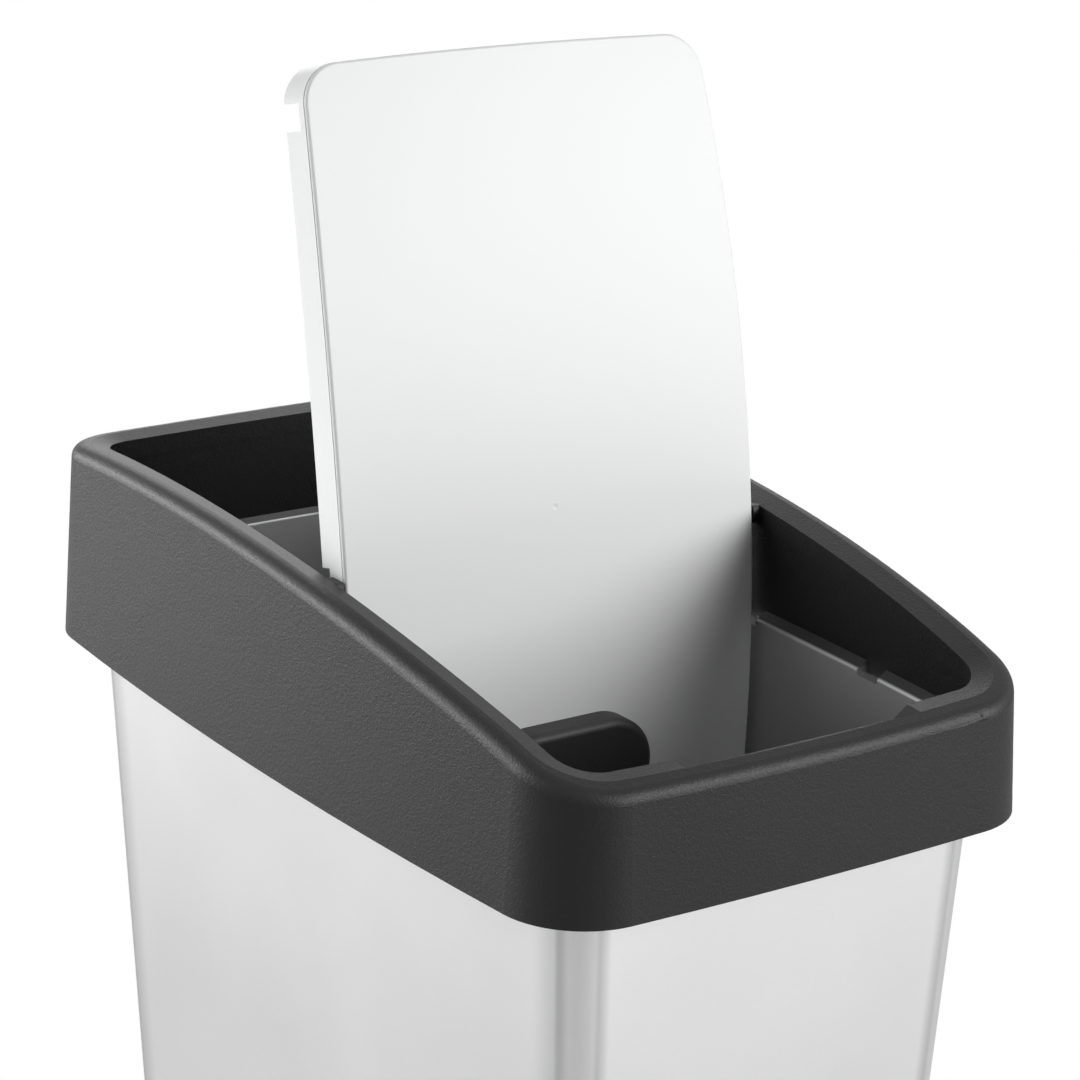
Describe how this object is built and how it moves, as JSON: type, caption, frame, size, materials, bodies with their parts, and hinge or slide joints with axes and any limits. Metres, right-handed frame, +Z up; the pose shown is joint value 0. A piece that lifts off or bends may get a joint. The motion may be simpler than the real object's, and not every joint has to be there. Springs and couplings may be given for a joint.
{
  "type": "swing-lid waste bin",
  "caption": "Tall rectangular countertop waste bin: light tapered body, dark domed collar that lifts off, and a curved swing lid with a grip, standing open on its side pins.",
  "frame": {"origin": "centre of the standing ring's footprint, on the floor", "axes": "+Z up; -Y towards the front, the low end of the collar with the hand notch; +X to the right seen from the front"},
  "size_m": [0.175, 0.2916, 0.4822],
  "materials": {
    "body_plastic": "fine satin moulded plastic, pale silver grey",
    "collar_plastic": "fine-grained matte moulded plastic, charcoal",
    "lid_plastic": "smooth satin moulded plastic, off-white",
    "grip_plastic": "matte moulded plastic, near black"
  },
  "bodies": {
    "body": {"body": "body_plastic"},
    "collar": {"collar": "collar_plastic"},
    "lid": {"lid_cover": "lid_plastic", "lid_tray": "lid_plastic", "lid_grip": "grip_plastic"}
  },
  "joints": [
    {"name": "collar_lift_off", "type": "slide", "parent": "body", "child": "collar", "axis": [0, 0, 1], "range_m": [0, 0.08]},
    {"name": "lid_swing", "type": "hinge", "parent": "collar", "child": "lid", "pos_m": [0, -0.0197, 0.34167], "axis": [-1, 0, 0], "range_deg": [0, 77.4]}
  ]
}
